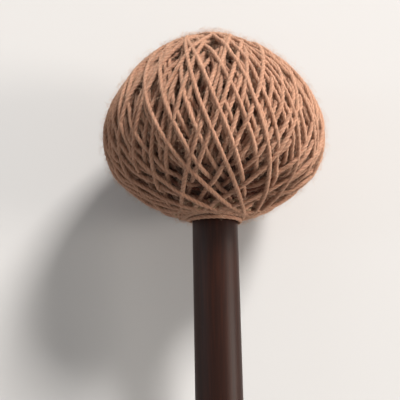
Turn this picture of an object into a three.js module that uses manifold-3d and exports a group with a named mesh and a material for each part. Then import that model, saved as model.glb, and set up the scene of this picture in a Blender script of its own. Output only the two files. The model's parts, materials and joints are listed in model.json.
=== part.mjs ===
// Marimba mallet: a rubber core on a slim dark shaft, wound with a long tan yarn.
// Sizes are millimetres. Every piece is drawn with the shaft upright and the middle of the head at
// zero, the crown of the head up. The last lines lay the mallet down, head and butt on the floor.
import * as THREE from "three";
import { mergeVertices } from "three/addons/utils/BufferGeometryUtils.js";
import Module from "manifold-3d";

const wasm = await Module();
wasm.setup();

// Overall sizes
const mallet_length = 405;
const head_diameter = 39;
const crown_rise = 19.1; // from the widest part of the head up to the crown
const neck_drop = 16.4; // from the widest part of the head down to the neck
const shaft_diameter = 8;
const head_roundness = 1.9; // 2 is an oval, less is more pointed

// Fits
const seat_gap = 0.3; // between a piece and what it is pressed, glued or wound on
const overrun = 5; // how far a cut reaches past what it cuts

// Shaft
const shaft_butt_round = 0.8;
const shaft_tip_chamfer = 0.6;
const glue_groove_depth = 0.3;
const glue_groove_width = 1.2;
const glue_groove_count = 3;
const shaft_facets = 40;

// Rubber core
const core_roundness = 2.1;
const bore_end_wall = 5; // rubber left over the end of the bore
const bore_mouth_chamfer = 0.8;
const head_facets = 40;

// Latex sleeve, stretched over the core
const sleeve_wall = 0.8;
const sleeve_end_radius = 7; // of the round openings at both ends of the sleeve

// Outer winding, one length of yarn laid from neck to crown and back
const yarn_diameter = 1.1;
const strand_gap = 0.5; // free space between crossing strands
const loops = 20;
const loops_skipped = 9; // a loop goes round the axis as far as this many of the twenty strands
const even_share = 0.2; // of that way, the part that it goes evenly, and not as it passes an eye
const crown_eye = 7.2; // how near a strand passes to the middle of the crown
const neck_eye = 7.2; // how near it passes to the middle of the shaft
const pile_share = 2.2; // height of the crossings at an eye, for a climb of one in one
const reach_share = 1.2; // half the length of the crossings, in strides between neighbours
const pile_fade = 1.5; // how soon the pile thins out away from the crown and the neck
const bunching_share = 0.2; // how much closer the points of a loop lie near the crown and the neck
const loop_steps = 24;
const strand_sides = 6;
const tuck_gap = 6; // between the places where the two ends leave the outer layer
const tuck_bend = 1.25;
const bend_steps = 3;

// Yarn turns round the shaft at the neck
const anchor_turns = 1.5;
const anchor_bend = 0.9;

// Stitching thread, drawn round the crossings at the crown and at the neck
const thread_diameter = 0.45;
const thread_gap = 0.45; // free space between turns of the thread
const stitch_turns = 1.75;

// Under-winding, the inner yarn below the outer winding
const crown_boss_radius = 5.5;
const crown_boss_round = 2.6;
const neck_pocket_radius = 6;
const neck_pocket_wall = 1.2; // yarn left between the pocket and the core
const side_wall = 1.55; // yarn over the sleeve at the widest part of the head
const crown_wall = 2.2; // yarn over the crown of the sleeve
const neck_wall = 2.3; // yarn under the neck end of the sleeve
const bed_gap = 0.55; // between the under-winding and the strands, whose steps are straight

// The head lies on yarn pressed flat
const rest_flat = 0.5;
const weld_distance = 1e-4; // below this, two corners are one

// Sizes that follow
const shaft_radius = shaft_diameter / 2;
const head_radius = head_diameter / 2;
const yarn_radius = yarn_diameter / 2;
const layer_step = yarn_diameter + strand_gap;
const bore_radius = shaft_radius + seat_gap;
const butt_height = crown_rise - mallet_length;
const swing_share = loops_skipped / loops; // of a full round, how far a loop goes round the axis

// Where all strands pass round an eye, each lies over the one before it and under the one after it.
// The stride is how far along itself a strand lies behind its neighbour. The shorter the stride, the
// steeper a strand has to climb, and the higher the crossings stand.
const crown_stride = 2 * crown_eye * Math.tan(Math.PI / loops);
const neck_stride = 2 * neck_eye * Math.tan(Math.PI / loops);
const crown_pile = (pile_share * layer_step * layer_step) / crown_stride;
const neck_pile = (pile_share * layer_step * layer_step) / neck_stride;

// The core fills what the yarn and the sleeve leave of the head
const sleeve_room = sleeve_wall + 2 * seat_gap;
const strand_room = yarn_diameter + bed_gap;
const core_diameter = head_diameter - 2 * (strand_room + layer_step + side_wall + sleeve_room);
const core_rise = crown_rise - strand_room - crown_pile - crown_wall - sleeve_room;
const core_drop = neck_drop - strand_room - neck_pile - neck_wall - sleeve_room;
const neck_pocket_ceiling = -(core_drop + sleeve_room + neck_pocket_wall);
const bore_top = core_rise - bore_end_wall;

// Middle surface of the two layers of strands
const middle_radius = head_radius - yarn_radius - layer_step / 2;
const middle_rise = crown_rise - yarn_radius - crown_pile / 2;
const middle_drop = neck_drop - yarn_radius - neck_pile / 2;
const crown_tilt = Math.asin(crown_eye / middle_rise);
const neck_tilt = Math.asin(neck_eye / middle_drop);
const crown_reach = (reach_share * crown_stride) / middle_rise;
const neck_reach = (reach_share * neck_stride) / middle_drop;

// Point of an oval body of revolution in the direction of a rise of -1 (neck) to 1 (crown)
function ovalPoint(rise, radius, top, bottom, roundness) {
  const out = Math.sqrt(Math.max(0, 1 - rise * rise));
  const end = rise > 0 ? top : bottom;
  const size = Math.pow(out / radius, roundness) + Math.pow(Math.abs(rise) / end, roundness);
  const reach = Math.pow(size, -1 / roundness);
  return new THREE.Vector2(reach * out, reach * rise);
}

// Direction square to an oval body at a point of it, pointing out
function ovalNormal(point, radius, top, bottom, roundness) {
  const end = point.y > 0 ? top : bottom;
  const across = Math.pow(point.x, roundness - 1) / Math.pow(radius, roundness);
  const along = Math.pow(Math.abs(point.y), roundness - 1) / Math.pow(end, roundness);
  return new THREE.Vector2(across, Math.sign(point.y) * along).normalize();
}

// Middle surface of the strands, its normal, and how far apart the two layers lie there
function beddingAt(rise) {
  const size = [middle_radius, middle_rise, middle_drop, head_roundness];
  const point = ovalPoint(rise, ...size);
  const normal = ovalNormal(point, ...size);
  const pile = rise > 0 ? crown_pile : neck_pile;
  const spread = layer_step + (pile - layer_step) * Math.pow(Math.abs(normal.y), pile_fade);
  return { point, normal, spread };
}

// Point of the yarn after a number of turns. It climbs on the outer layer, sinks to the inner layer
// as it passes the crown, comes down there, and rises to the outer layer as it passes the neck. The
// sweep is the way round the axis of a ring tilted to pass beside both poles.
function yarnPoint(turns) {
  const phase = 2 * Math.PI * turns;
  const angle = phase + bunching_share * Math.sin(2 * phase);
  const climb = Math.sin(angle);
  const crown_share = (1 + climb) / 2;
  const tilt = neck_tilt + (crown_tilt - neck_tilt) * crown_share;
  const rise = climb * Math.cos(tilt);
  const at_crown = climb > 0;
  const past_eye = Math.asin(Math.cos(angle)) * (at_crown ? -1 : 1);
  const reach = at_crown ? crown_reach : neck_reach;
  const eased = Math.sin((Math.PI / 2) * THREE.MathUtils.clamp(past_eye / reach, -1, 1));
  const outer_share = (1 + (at_crown ? -eased : eased)) / 2;
  const bed = beddingAt(rise);
  const lift = (outer_share - 1 / 2) * bed.spread;
  const radius = bed.point.x + bed.normal.x * lift;
  const height = bed.point.y + bed.normal.y * lift;
  const across = Math.cos(angle);
  const sweep = angle + Math.atan2(climb * Math.sin(tilt), across) - Math.atan2(climb, across);
  const heading = -swing_share * ((1 - even_share) * sweep + even_share * phase);
  return new THREE.Vector3(radius * Math.cos(heading), radius * Math.sin(heading), height);
}

// Direction out of the head, square to its surface, at a point of the yarn
function outOfHead(point) {
  const bed = beddingAt(point.z / point.length());
  const flat = new THREE.Vector2(point.x, point.y).normalize().multiplyScalar(bed.normal.x);
  return new THREE.Vector3(flat.x, flat.y, bed.normal.y);
}

// The last points of a strand: a bend and a straight end, square to the surface below
function tuckedEnd(start, heading) {
  const inward = outOfHead(start).negate();
  const bed = beddingAt(start.z / start.length());
  const depth = bed.spread + yarn_radius + bed_gap - seat_gap;
  const points = [];
  for (let step = 1; step <= bend_steps; step += 1) {
    const angle = (step / bend_steps) * (Math.PI / 2);
    const point = start.clone();
    point.addScaledVector(heading, tuck_bend * Math.sin(angle));
    point.addScaledVector(inward, tuck_bend * (1 - Math.cos(angle)));
    points.push(point);
  }
  const end = points[points.length - 1].clone();
  points.push(end.addScaledVector(inward, depth - tuck_bend));
  return points;
}

// Route of the outer winding, from one tucked end to the other
function windingRoute() {
  const turn_length = 2 * Math.PI * middle_radius * (1 + 2 * bunching_share);
  const half_gap = tuck_gap / 2 / turn_length;
  const route = [yarnPoint(half_gap)];
  for (let step = 1; step < loops * loop_steps; step += 1) {
    route.push(yarnPoint(step / loop_steps));
  }
  route.push(yarnPoint(loops - half_gap));
  const last = route.length - 1;
  const leaving = route[0].clone().sub(route[1]).normalize();
  const arriving = route[last].clone().sub(route[last - 1]).normalize();
  const head = tuckedEnd(route[0], leaving).reverse();
  const tail = tuckedEnd(route[last], arriving);
  return [...head, ...route, ...tail];
}

// Closed tube of a few sides along a route
function tube(route, radius, sides) {
  const positions = [];
  const index = [];
  let up = new THREE.Vector3(0, 0, 1);
  if (Math.abs(route[1].clone().sub(route[0]).normalize().z) > 1 / 2) {
    up = new THREE.Vector3(route[0].x, route[0].y, 0).normalize();
  }
  route.forEach((point, place) => {
    const before = route[Math.max(0, place - 1)];
    const after = route[Math.min(route.length - 1, place + 1)];
    const ahead = after.clone().sub(point).normalize();
    const behind = point.clone().sub(before).normalize();
    const tangent = ahead.add(behind).normalize();
    up = up.clone().addScaledVector(tangent, -up.dot(tangent)).normalize();
    const side = tangent.clone().cross(up);
    for (let corner = 0; corner < sides; corner += 1) {
      const angle = (2 * Math.PI * corner) / sides;
      const rim = point.clone();
      rim.addScaledVector(up, radius * Math.cos(angle));
      rim.addScaledVector(side, radius * Math.sin(angle));
      positions.push(rim.x, rim.y, rim.z);
    }
  });
  for (let ring = 0; ring < route.length - 1; ring += 1) {
    for (let corner = 0; corner < sides; corner += 1) {
      const next = (corner + 1) % sides;
      const a = ring * sides + corner;
      const b = ring * sides + next;
      index.push(a, b, a + sides);
      index.push(b, b + sides, a + sides);
    }
  }
  const last = (route.length - 1) * sides;
  for (let corner = 1; corner < sides - 1; corner += 1) {
    index.push(0, corner + 1, corner);
    index.push(last, last + corner, last + corner + 1);
  }
  const geometry = new THREE.BufferGeometry();
  geometry.setAttribute("position", new THREE.Float32BufferAttribute(positions, 3));
  geometry.setIndex(index);
  return geometry;
}

// Least free space between the turns of a tube, measured on points close along its route
function leastGap(route, radius) {
  const spacing = radius / 2;
  const own_length = 8 * radius;
  const points = [];
  let travelled = 0;
  for (let place = 0; place < route.length - 1; place += 1) {
    const run = route[place].distanceTo(route[place + 1]);
    const pieces = Math.ceil(run / spacing);
    for (let piece = 0; piece < pieces; piece += 1) {
      const point = route[place].clone().lerp(route[place + 1], piece / pieces);
      points.push({ point, length: travelled + (run * piece) / pieces });
    }
    travelled += run;
  }
  let least = Infinity;
  for (let first = 0; first < points.length; first += 1) {
    for (let second = first + 1; second < points.length; second += 1) {
      const distance = points[first].point.distanceToSquared(points[second].point);
      if (distance < least && points[second].length - points[first].length > own_length) {
        least = distance;
      }
    }
  }
  return Math.sqrt(least) - 2 * radius;
}

// Body of revolution round the shaft's axis, with a facet towards the floor
function turned(profile, facets) {
  const geometry = new THREE.LatheGeometry(profile, facets, Math.PI / facets);
  return geometry.rotateX(Math.PI / 2);
}

const at = (radius, height) => new THREE.Vector2(radius, height);

// Shaft, with a rounded butt, a chamfered tip and shallow grooves that hold the glue in the core
function shaftGeometry() {
  const tip_height = bore_top - seat_gap;
  const profile = [at(0, butt_height)];
  const round_steps = 4;
  for (let step = 0; step <= round_steps; step += 1) {
    const angle = (step / round_steps) * (Math.PI / 2);
    const radius = shaft_radius - shaft_butt_round * (1 - Math.sin(angle));
    profile.push(at(radius, butt_height + shaft_butt_round * (1 - Math.cos(angle))));
  }
  const first_groove = -core_drop + bore_mouth_chamfer;
  const pitch = (tip_height - shaft_tip_chamfer - first_groove) / glue_groove_count;
  for (let groove = 0; groove < glue_groove_count; groove += 1) {
    const start = first_groove + groove * pitch;
    profile.push(at(shaft_radius, start));
    profile.push(at(shaft_radius - glue_groove_depth, start + glue_groove_width / 3));
    profile.push(at(shaft_radius - glue_groove_depth, start + (2 * glue_groove_width) / 3));
    profile.push(at(shaft_radius, start + glue_groove_width));
  }
  profile.push(at(shaft_radius, tip_height - shaft_tip_chamfer));
  profile.push(at(shaft_radius - shaft_tip_chamfer, tip_height));
  profile.push(at(0, tip_height));
  return turned(profile, shaft_facets);
}

// Outline of the core grown by an offset, between two rises, from neck to crown
function coreOutline(offset, from_rise, to_rise, steps) {
  const outline = [];
  for (let step = 0; step <= steps; step += 1) {
    const from_angle = Math.asin(from_rise);
    const angle = from_angle + ((Math.asin(to_rise) - from_angle) * step) / steps;
    const size = [core_diameter / 2, core_rise, core_drop, core_roundness];
    const point = ovalPoint(Math.sin(angle), ...size);
    const normal = ovalNormal(point, ...size);
    outline.push(at(point.x + normal.x * offset, point.y + normal.y * offset));
  }
  return outline;
}

// Rise at which the grown core reaches a given radius, at the crown (1) or at the neck (-1)
function riseAtRadius(radius, offset, end) {
  let low = 0;
  let high = 1;
  for (let round = 0; round < 40; round += 1) {
    const middle = (low + high) / 2;
    const point = coreOutline(offset, end * middle, end * middle, 1)[0];
    if (point.x > radius) low = middle;
    else high = middle;
  }
  return end * high;
}

// Rubber core, an oval block with a blind bore for the shaft
function coreGeometry() {
  const mouth_radius = bore_radius + bore_mouth_chamfer;
  const outline = coreOutline(0, riseAtRadius(mouth_radius, 0, -1), 1, 16);
  const mouth_height = outline[0].y;
  const profile = [
    at(0, bore_top),
    at(bore_radius, bore_top),
    at(bore_radius, mouth_height + bore_mouth_chamfer),
    ...outline,
  ];
  profile[profile.length - 1].x = 0;
  return turned(profile, head_facets);
}

// Latex sleeve, a thin tube stretched over the core and open at both ends
function sleeveGeometry() {
  const inner = seat_gap;
  const outer = seat_gap + sleeve_wall;
  const low = riseAtRadius(sleeve_end_radius, inner, -1);
  const high = riseAtRadius(sleeve_end_radius, inner, 1);
  const inside = coreOutline(inner, low, high, 14);
  const outside = coreOutline(outer, low, high, 14);
  const profile = [...outside, ...inside.reverse(), outside[0].clone()];
  return turned(profile, head_facets);
}

// Point of the under-winding's surface, on which the inner layer of strands lies
function underWindingBed(rise) {
  const { point, normal, spread } = beddingAt(rise);
  const inset = spread / 2 + yarn_radius + bed_gap;
  return at(point.x - normal.x * inset, point.y - normal.y * inset);
}

// Under-winding: the inner yarn, packed round the sleeve. It fills the eye of the crown.
function underWindingGeometry() {
  const inner = 2 * seat_gap + sleeve_wall;
  const low = riseAtRadius(bore_radius, inner, -1);
  const cavity = coreOutline(inner, low, 1, 14).reverse();
  cavity[0].x = 0;
  const bed = [];
  const bed_steps = 24;
  for (let step = 0; step <= bed_steps; step += 1) {
    bed.push(underWindingBed(Math.sin((step / bed_steps - 1 / 2) * Math.PI)));
  }
  const floor = bed.filter((point) => point.y < 0 && point.x > neck_pocket_radius);
  const shoulder = bed.filter((point) => point.y >= 0 && point.x > crown_boss_radius);
  const crown_floor = shoulder[shoulder.length - 1].y;
  const profile = [...cavity, at(bore_radius, neck_pocket_ceiling)];
  profile.push(at(neck_pocket_radius, neck_pocket_ceiling), at(neck_pocket_radius, floor[0].y));
  profile.push(...floor, ...shoulder);
  profile.push(at(crown_boss_radius, crown_floor));
  const dome_steps = 5;
  for (let step = 0; step <= dome_steps; step += 1) {
    const angle = (step / dome_steps) * (Math.PI / 2);
    const radius = crown_boss_radius * Math.cos(angle);
    profile.push(at(radius, crown_rise - crown_boss_round * (1 - Math.sin(angle))));
  }
  profile[profile.length - 1].x = 0;
  return turned(profile, head_facets);
}

// Route of a coil round the shaft's axis that climbs by one pitch a turn, up to a given height
function coilRoute(radius, top, pitch, turns) {
  const steps = Math.round(turns * loop_steps);
  const route = [];
  for (let step = 0; step <= steps; step += 1) {
    const angle = (2 * Math.PI * step) / loop_steps;
    const height = top - pitch * ((steps - step) / loop_steps);
    route.push(new THREE.Vector3(radius * Math.cos(angle), radius * Math.sin(angle), height));
  }
  return route;
}

// Point straight on past the end of a route
function straightOn(end, before, run) {
  return end.clone().sub(before).setLength(run).add(end);
}

// Yarn turns round the shaft. The upper end bends up to the under-winding, square to it.
function anchorRoute() {
  const ceiling = neck_pocket_ceiling - seat_gap;
  const top = ceiling - yarn_diameter - anchor_bend;
  const coil = coilRoute(shaft_radius + seat_gap + yarn_radius, top, layer_step, anchor_turns);
  const last = coil[coil.length - 1];
  const heading = new THREE.Vector3(-last.y, last.x, 0).normalize();
  const rising = [];
  for (let step = 1; step <= bend_steps; step += 1) {
    const angle = (step / bend_steps) * (Math.PI / 2);
    const point = last.clone().addScaledVector(heading, anchor_bend * Math.sin(angle));
    point.z += anchor_bend * (1 - Math.cos(angle));
    rising.push(point);
  }
  const end = rising[rising.length - 1].clone();
  end.z = ceiling;
  return [straightOn(coil[0], coil[1], yarn_diameter), ...coil, ...rising, end];
}

// Turns of thread between a round body and the strands of an eye, at the height of the strands
function stitchRoute(inside, outside, height) {
  const pitch = thread_diameter + thread_gap;
  const top = height + (pitch * stitch_turns) / 2;
  const coil = coilRoute((inside + outside) / 2, top, pitch, stitch_turns);
  const last = coil.length - 1;
  const first_end = straightOn(coil[0], coil[1], thread_diameter);
  const last_end = straightOn(coil[last], coil[last - 1], thread_diameter);
  return [first_end, ...coil, last_end];
}

const materials = {
  shaft: { color: "#33191a", roughness: 0.42, metalness: 0 },
  core: { color: "#5b5a57", roughness: 0.85, metalness: 0 },
  sleeve: { color: "#c9a063", roughness: 0.6, metalness: 0 },
  under_yarn: { color: "#8a6450", roughness: 0.95, metalness: 0 },
  yarn: { color: "#b8947a", roughness: 0.95, metalness: 0 },
  thread: { color: "#d8c2a6", roughness: 0.8, metalness: 0 },
};

function piece(name, geometry, material) {
  const mesh = new THREE.Mesh(geometry, new THREE.MeshStandardMaterial(materials[material]));
  mesh.name = name;
  return mesh;
}

function strand(name, route, diameter, material) {
  const gap = leastGap(route, diameter / 2);
  console.log(`${name}: least gap to itself ${gap.toFixed(3)} mm`);
  return piece(name, tube(route, diameter / 2, strand_sides), material);
}

// The mallet lies with its butt's lower edge and the flat of its head on the floor
const mallet = new THREE.Group();
const floor_radius = shaft_radius * Math.cos(Math.PI / shaft_facets);
const lift = head_radius - rest_flat;
const edge_distance = -(butt_height + shaft_butt_round);
const slope = Math.asin(lift / Math.hypot(edge_distance, floor_radius))
  - Math.atan2(floor_radius, edge_distance);
mallet.rotation.x = slope - Math.PI / 2;
mallet.position.z = lift;
mallet.updateMatrixWorld();

function solid(geometry) {
  const bare = new THREE.BufferGeometry();
  bare.setAttribute("position", geometry.getAttribute("position").clone());
  bare.setIndex(geometry.getIndex());
  const welded = mergeVertices(bare, weld_distance);
  return new wasm.Manifold(new wasm.Mesh({
    numProp: 3,
    vertProperties: new Float32Array(welded.getAttribute("position").array),
    triVerts: new Uint32Array(welded.getIndex().array),
  }));
}

// Takes away what reaches below the floor when the mallet lies on it
function pressedFlat(geometry) {
  const under = new THREE.BoxGeometry(2 * head_diameter, 2 * head_diameter, overrun);
  under.translate(0, 0, -overrun / 2);
  under.applyMatrix4(mallet.matrixWorld.clone().invert());
  const cut = solid(geometry).subtract(solid(under)).getMesh();
  const result = new THREE.BufferGeometry();
  result.setAttribute("position", new THREE.BufferAttribute(cut.vertProperties, cut.numProp));
  result.setIndex(new THREE.BufferAttribute(cut.triVerts, 1));
  return result;
}

mallet.add(piece("shaft", shaftGeometry(), "shaft"));
mallet.add(piece("core", coreGeometry(), "core"));
mallet.add(piece("latex_sleeve", sleeveGeometry(), "sleeve"));
mallet.add(piece("under_winding", underWindingGeometry(), "under_yarn"));

mallet.add(strand("anchor_wraps", anchorRoute(), yarn_diameter, "yarn"));

const outer_winding = strand("outer_winding", windingRoute(), yarn_diameter, "yarn");
outer_winding.geometry = pressedFlat(outer_winding.geometry);
mallet.add(outer_winding);

const crown_height = beddingAt(Math.cos(crown_tilt)).point.y;
const crown_stitch = stitchRoute(crown_boss_radius, crown_eye - yarn_radius, crown_height);
mallet.add(strand("crown_stitch", crown_stitch, thread_diameter, "thread"));

const neck_inside = Math.hypot(shaft_radius + seat_gap + yarn_radius, anchor_bend) + yarn_radius;
const neck_height = beddingAt(-Math.cos(neck_tilt)).point.y;
const neck_stitch = stitchRoute(neck_inside, neck_eye - yarn_radius, neck_height);
mallet.add(strand("neck_stitch", neck_stitch, thread_diameter, "thread"));

// The origin goes to the floor under the middle of the mallet
const laid = new THREE.Box3().setFromObject(mallet, true);
mallet.position.y -= (laid.min.y + laid.max.y) / 2;
mallet.position.z -= laid.min.z;

export default mallet;
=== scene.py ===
# %% [markdown]
# # A marimba mallet, wound in yarn
# A marimba mallet is a shaft, a rubber core glued on its end, and yarn.
# The yarn goes over the core from pole to pole, some two hundred times, until
# the head is soft and round.
# This lesson dresses the packed CAD model of the mallet.
# The CAD gives the places and sizes. Here come the smooth shaft, the twisted
# yarn, its loose fibres and the light.

# %% The packed model
import json
import math

import bpy
import numpy as np
from mathutils import Matrix, Vector

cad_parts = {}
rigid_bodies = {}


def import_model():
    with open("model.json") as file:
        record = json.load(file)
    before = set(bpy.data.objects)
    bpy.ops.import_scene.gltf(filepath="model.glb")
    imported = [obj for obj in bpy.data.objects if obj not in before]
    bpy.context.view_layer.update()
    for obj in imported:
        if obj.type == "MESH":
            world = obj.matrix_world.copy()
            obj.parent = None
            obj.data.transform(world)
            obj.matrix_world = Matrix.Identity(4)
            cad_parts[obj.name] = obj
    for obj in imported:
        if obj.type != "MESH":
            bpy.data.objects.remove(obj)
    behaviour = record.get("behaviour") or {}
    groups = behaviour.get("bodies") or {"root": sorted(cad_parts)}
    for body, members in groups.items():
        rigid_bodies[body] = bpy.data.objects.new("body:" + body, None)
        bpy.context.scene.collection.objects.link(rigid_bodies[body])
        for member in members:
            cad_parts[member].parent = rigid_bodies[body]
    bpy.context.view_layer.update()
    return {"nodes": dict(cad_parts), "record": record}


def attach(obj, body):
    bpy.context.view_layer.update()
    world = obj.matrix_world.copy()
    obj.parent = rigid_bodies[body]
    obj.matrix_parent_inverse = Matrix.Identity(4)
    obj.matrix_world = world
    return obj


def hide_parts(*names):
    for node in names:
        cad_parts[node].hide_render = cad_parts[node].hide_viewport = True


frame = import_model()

mm = 0.001
print("CAD nodes:", ", ".join(sorted(frame["nodes"])))

# %% [markdown]
# ## The mallet's own axis
# The mallet lies on the floor, so its axis slopes a little: the head is
# thicker than the shaft. Yarn is easier to think about round an upright axis.
# So everything is worked out upright, with the origin in the middle of the
# head's widest part, and `laid` brings it to its place on the floor.
# The record's mount on the butt of the shaft gives the axis.

# %% From the upright mallet to the one on the floor
shaft_below_head = 385.9 * mm
shaft_top = 6.1 * mm

butt = frame["record"]["mounts"][0]
butt_centre = np.array(butt["pos_m"])
to_crown = -np.array(butt["axis"])
to_crown /= np.linalg.norm(to_crown)
to_side = np.array([1.0, 0.0, 0.0])
to_floor = np.cross(to_crown, to_side)
head_centre = butt_centre + to_crown * shaft_below_head


def laid(points):
    """Points of the upright mallet, in their place on the floor."""
    points = np.asarray(points, float)
    return head_centre + points @ np.array([to_side, to_floor, to_crown])


print("head centre, mm:", np.round(head_centre / mm, 2))

# %% [markdown]
# ## Sums as nodes
# Both kinds of node tree below, for shapes and for finishes, need sums.
# A small class stands for the output of a node. Python's own signs on it add
# Math nodes, so `1 - mask * 0.5` reads as it would on paper. Adding each node
# by hand would take three lines for every sign, and hide the sum.


# %% A socket that can be added and multiplied
class Value:
    """The output of a node. A sum on it adds a Math node."""

    def __init__(self, tree, socket):
        self.tree, self.socket = tree, socket

    def __add__(self, other):
        return self.tree.maths("ADD", self, other)

    def __sub__(self, other):
        return self.tree.maths("SUBTRACT", self, other)

    def __mul__(self, other):
        return self.tree.maths("MULTIPLY", self, other)

    def __truediv__(self, other):
        return self.tree.maths("DIVIDE", self, other)

    def __rsub__(self, other):
        return self.tree.maths("SUBTRACT", other, self)

    __radd__ = __add__
    __rmul__ = __mul__


print("signs that a Value takes: + - * /")

# %% [markdown]
# All other nodes come from one method, `Tree.node`. It takes the node's type,
# its settings, which are set first, and the values or links of its sockets.
# The other methods name the few nodes that the finishes use again and again.


# %% A tree of nodes
class Tree:
    """A node tree, and the one way in which nodes are put in it."""

    def __init__(self, nodes, links):
        self.nodes, self.links = nodes, links

    def node(self, kind, settings=None, sockets=None, output=0):
        """Adds a node and gives back an output as a Value, or several."""
        made = self.nodes.new(kind)
        for name, value in (settings or {}).items():
            setattr(made, name, value)
        for name, value in (sockets or {}).items():
            if isinstance(value, Value):
                self.links.new(value.socket, made.inputs[name])
            else:
                made.inputs[name].default_value = value
        if not made.outputs:
            return made
        if isinstance(output, tuple):
            return [Value(self, made.outputs[one]) for one in output]
        return Value(self, made.outputs[output])

    def maths(self, operation, *terms):
        settings = {"operation": operation}
        return self.node("ShaderNodeMath", settings, dict(enumerate(terms)))

    def between(self, value, low, high):
        """0 where the value is at low, 1 at high, eased on the way."""
        return self.node(
            "ShaderNodeMapRange",
            {"interpolation_type": "SMOOTHSTEP"},
            {"Value": value, "From Min": low, "From Max": high},
        )

    def blended(self, share, first, second):
        """The first colour where the share is 0, the second where it is 1."""
        return self.node(
            "ShaderNodeMix",
            {"data_type": "RGBA"},
            {0: share, 6: first, 7: second},
            output=2,
        )

    def scaled(self, vector, sizes):
        """A vector stretched along x, y and z."""
        return self.node(
            "ShaderNodeVectorMath", {"operation": "MULTIPLY"}, {0: vector, 1: sizes}
        )

    def noise(self, place, scale, detail):
        """Cloudy values from 0 to 1, the same wherever the place is."""
        return self.node(
            "ShaderNodeTexNoise",
            sockets={"Vector": place, "Scale": scale, "Detail": detail},
        )


print("ways to add nodes:", ", ".join(name for name in vars(Tree) if name[0] != "_"))

# %% [markdown]
# ## Colours and finishes
# Each finish is a Principled shader. Only what changes over the surface is
# linked to it: the colour, the roughness and the bump. What is the same all
# over is written on the shader's own socket.
# A hex colour is how a colour looks on a screen, and the renderer needs
# amounts of light, so `paint` turns one into the other.


# %% Colours and the start of a finish
def paint(hex_colour):
    """A screen colour such as c8a080 as red, green, blue and alpha light.

    The curve is the one that all common screens follow.
    """
    amounts = []
    for start in (0, 2, 4):
        screen = int(hex_colour[start : start + 2], 16) / 255
        linear = screen <= 0.04045
        amounts.append(screen / 12.92 if linear else ((screen + 0.055) / 1.055) ** 2.4)
    return (*amounts, 1.0)


def start_finish(name):
    """A new material and its tree, empty."""
    material = bpy.data.materials.new(name)
    material.use_nodes = True
    material.node_tree.nodes.clear()
    return material, Tree(material.node_tree.nodes, material.node_tree.links)


def end_finish(tree, sockets, height=None, bump_depth=0.0):
    """Adds the shader, with a bump of this depth where a height is given."""
    if height is not None:
        sockets["Normal"] = tree.node(
            "ShaderNodeBump",
            sockets={"Height": height, "Distance": bump_depth, "Strength": 1.0},
        )
    shader = tree.node("ShaderNodeBsdfPrincipled", sockets=sockets)
    tree.node("ShaderNodeOutputMaterial", sockets={"Surface": shader})


print("tan c8a080 as light:", np.round(paint("c8a080"), 3))

# %% [markdown]
# ## The yarn's finish
# The yarn is a soft wool blend, spun of three plies and tan in colour.
# A picture of yarn laid on the head would not follow each strand.
# But each strand is a mesh, swept along a path, and the sweep stores three
# numbers at each point: how far along the yarn it is, how far round it, and
# how deep under the head's outline. A pattern on these follows the yarn.
# So the first two are rolled up into a straight piece of yarn, and the noise
# is read there, drawn out along it into streaks of fibre.
# The grooves between plies get painted shade, a darker colour, and so does
# yarn that lies deep under the outline. Sheen is the light caught by fuzz.

# %% Yarn
plies = 3
streak_radius = 0.55 * mm
streak_along = 0.14
# Painted shade: how much the grooves between plies are darkened.
groove_painted_shade = 0.35
# Painted shade: yarn between these depths under the outline is darkened.
painted_shade_from, painted_shade_at = 0.4 * mm, 2.8 * mm


def yarn_finish(name, light, mid, dark):
    """Spun yarn with fibre streaks, slow changes of tone, soft sheen, and painted shade
    in the ply grooves and on deep yarn.
    """
    material, tree = start_finish(name)
    along, around, depth = [
        tree.node("ShaderNodeAttribute", {"attribute_name": key}, output=2)
        for key in ("along", "around", "depth")
    ]
    angle = around * (2 * math.pi)
    place = tree.node(
        "ShaderNodeCombineXYZ",
        sockets={
            0: tree.maths("COSINE", angle) * streak_radius,
            1: tree.maths("SINE", angle) * streak_radius,
            2: along * streak_along,
        },
    )
    streaks = tree.noise(place, scale=9000, detail=3)
    slow = tree.noise(tree.scaled(place, (0, 0, 1)), scale=900, detail=2)
    shade = tree.between(streaks * 0.65 + slow * 0.35, 0.32, 0.68)
    colour = tree.blended(shade, mid, light)
    # Painted shade: the grooves between the plies are darkened in the colour.
    groove = tree.between(tree.maths("COSINE", angle * plies), 0.2, -1.0)
    colour = tree.blended(groove * groove_painted_shade, colour, dark)
    # Painted shade: yarn that lies deep under the outline is darkened.
    colour = tree.blended(tree.between(depth, painted_shade_from, painted_shade_at), colour, dark)
    sockets = {
        "Base Color": colour,
        "Roughness": 0.95 - 0.12 * shade,
        "Specular IOR Level": 0.25,
        "Sheen Weight": 0.35,
        "Sheen Roughness": 0.5,
        "Sheen Tint": paint("f0d8c0"),
    }
    end_finish(tree, sockets, height=streaks, bump_depth=0.12 * mm)
    return material


# The last colour of each finish is the painted shade of grooves and deep yarn.
yarn = yarn_finish("spun_yarn", paint("cb9f86"), paint("b8896f"), paint("7d4636"))
thread = yarn_finish("waxed_thread", paint("c9a888"), paint("a98566"), paint("6f4f3d"))
print("finishes:", yarn.name, thread.name)

# %% [markdown]
# ## The shaft's finish
# The shaft is a dowel with a dark brown, nearly black satin lacquer.
# The grain runs along it and shows only faintly through the lacquer, so the
# pattern is a noise that is drawn out nearly a hundred times along the shaft.
# The lacquer keeps a trace of grain and pores. Near the butt, where players
# hold it, hands have polished it.

# %% Lacquered dowel
grain_along = 0.012
pores_along = 0.03
polished_to, dull_from = -190 * mm, -60 * mm


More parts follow.
